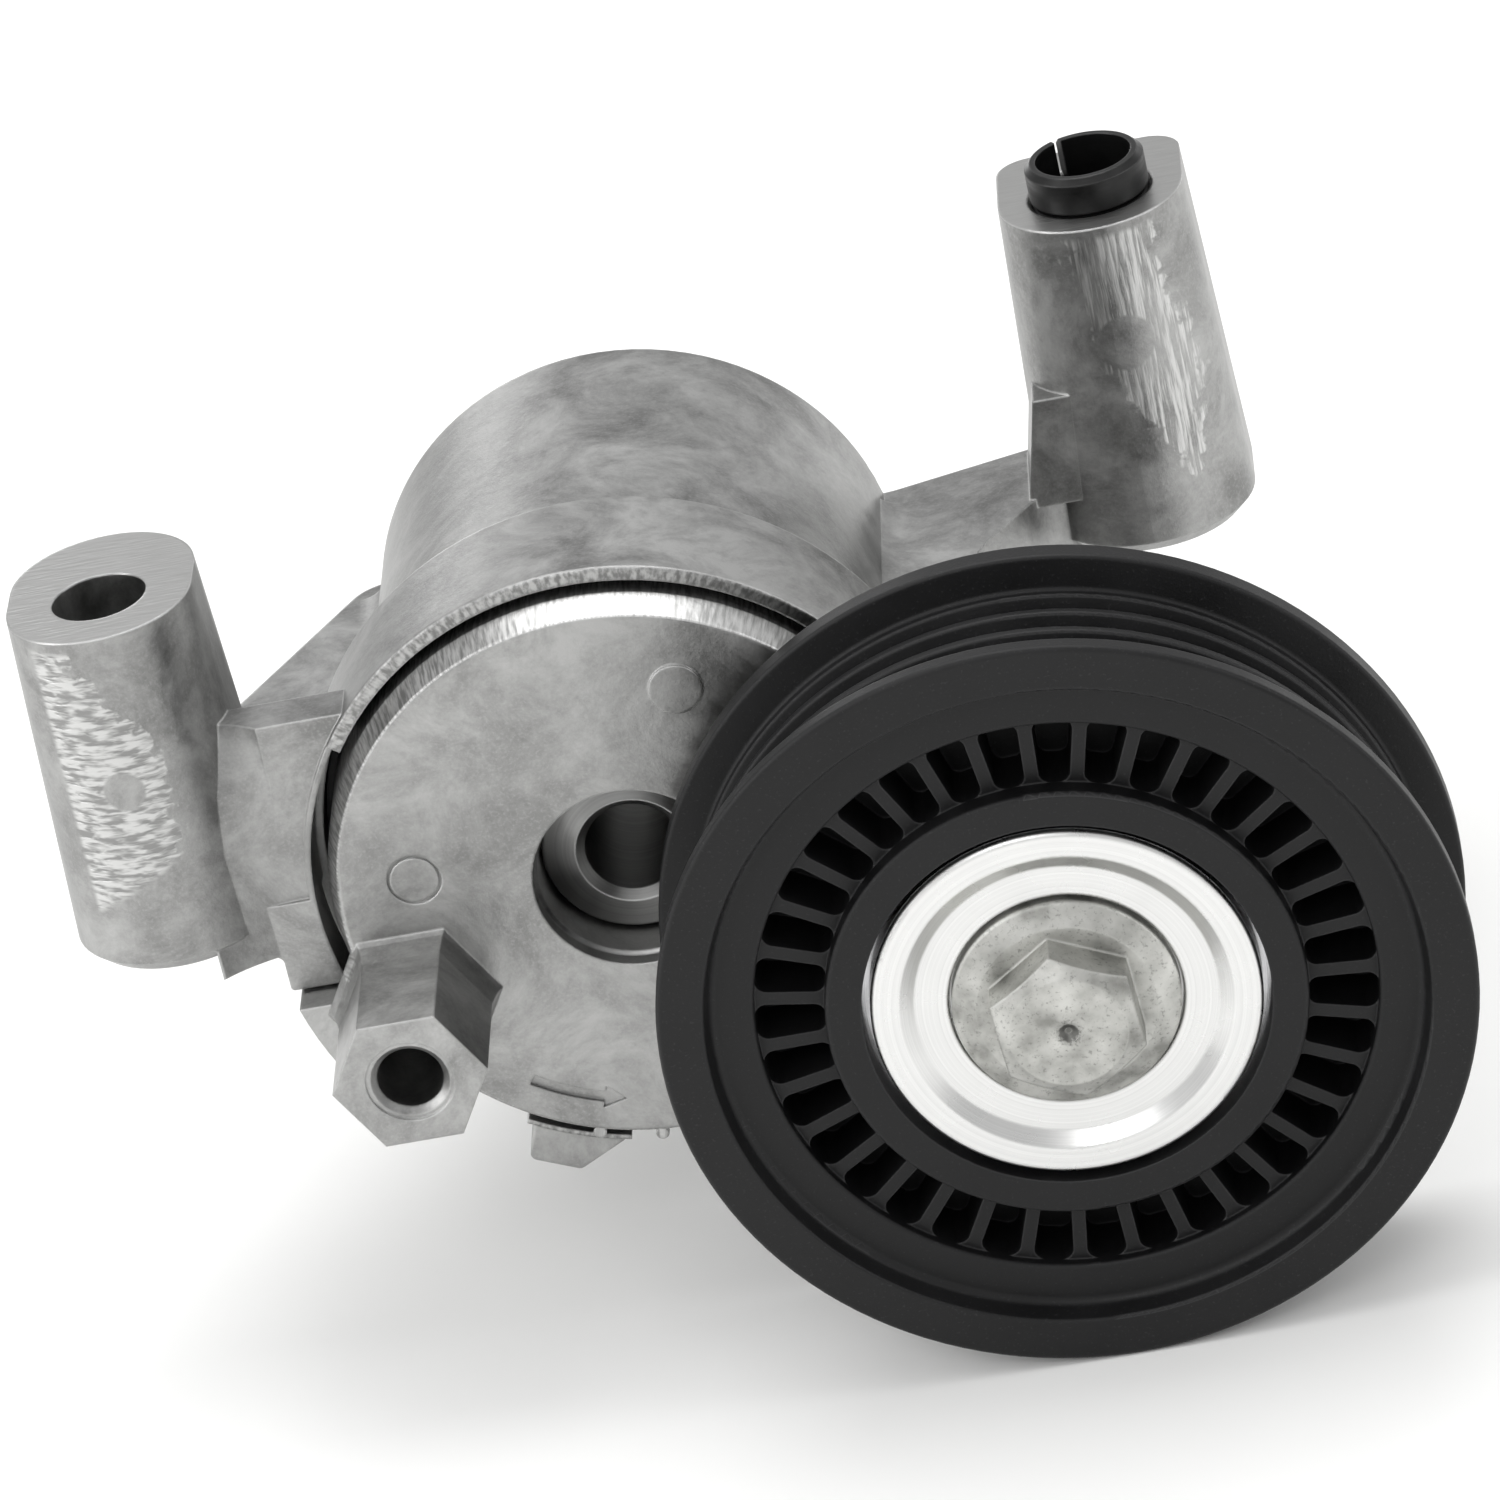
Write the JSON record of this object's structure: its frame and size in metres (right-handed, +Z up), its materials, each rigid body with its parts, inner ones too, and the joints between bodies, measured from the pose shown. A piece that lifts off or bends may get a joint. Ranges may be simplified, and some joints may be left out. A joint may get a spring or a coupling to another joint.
{
  "type": "belt tensioner",
  "caption": "Automatic belt tensioner: cast spring housing with mounting bosses, sprung arm and grooved idler pulley",
  "frame": {"origin": "on the left bolt hole's axis, in the plane of the two mounting faces", "axes": "+X from the left boss to the pulley side, +Y from the pulley's front to the rear of the spring housing and parallel to the pivot and pulley axes, +Z up along the mounting bosses"},
  "size_m": [0.1329, 0.1024, 0.0839],
  "materials": {
    "cast_aluminium": "die-cast, dull",
    "machined_aluminium": "die-cast, machined faces",
    "nylon_black": "moulded glass-filled nylon",
    "zinc_bright": "bright zinc plated sheet",
    "zinc_dull": "dull zinc plated",
    "steel_black": "black oxide",
    "steel_bare": "bare turned steel",
    "spring_steel": "oil-tempered wire",
    "polymer_tan": "bearing polymer",
    "bearing_steel": "ground bearing steel",
    "seal_rubber": "moulded rubber",
    "brass_rivet": "cold headed"
  },
  "bodies": {
    "housing_body": {"housing": "cast_aluminium", "dowel_sleeve": "steel_black", "pivot_tube": "steel_bare", "rear_washer": "zinc_dull", "spring_liner": "polymer_tan", "torsion_spring": "spring_steel"},
    "arm_body": {"arm": "machined_aluminium", "pivot_bush_front": "polymer_tan", "pivot_bush_rear": "polymer_tan", "thrust_washer": "polymer_tan", "damper_shoe": "nylon_black", "damper_band": "spring_steel", "pulley_bolt": "zinc_dull", "front_dust_shield": "zinc_bright", "rear_dust_shield": "zinc_bright", "bearing_inner_ring": "bearing_steel"},
    "pulley_body": {"pulley_wheel": "nylon_black", "bearing_outer_ring": "bearing_steel", "bearing_seal_front": "seal_rubber", "bearing_seal_rear": "seal_rubber"},
    "cage_body": {"bearing_balls": "bearing_steel", "bearing_cage_front": "steel_bare", "bearing_cage_rear": "steel_bare", "cage_rivets": "brass_rivet"}
  },
  "joints": [
    {"name": "arm_pivot", "type": "hinge", "parent": "housing_body", "child": "arm_body", "pos_m": [0.0447, -0.0059, -0.0338], "axis": [0, -1, 0], "range_deg": [0, 30], "stiffness_Nm_per_rad": 17, "springref_deg": -57.3},
    {"name": "pulley_spin", "type": "hinge", "parent": "arm_body", "child": "pulley_body", "pos_m": [0.0845, -0.0255, -0.042], "axis": [0, -1, 0], "continuous": true},
    {"name": "cage_turn", "type": "hinge", "parent": "arm_body", "child": "cage_body", "pos_m": [0.0845, -0.0255, -0.042], "axis": [0, -1, 0], "continuous": true}
  ],
  "couplings": [
    {"joint": "cage_turn", "follows": "pulley_spin", "ratio": 0.618}
  ]
}
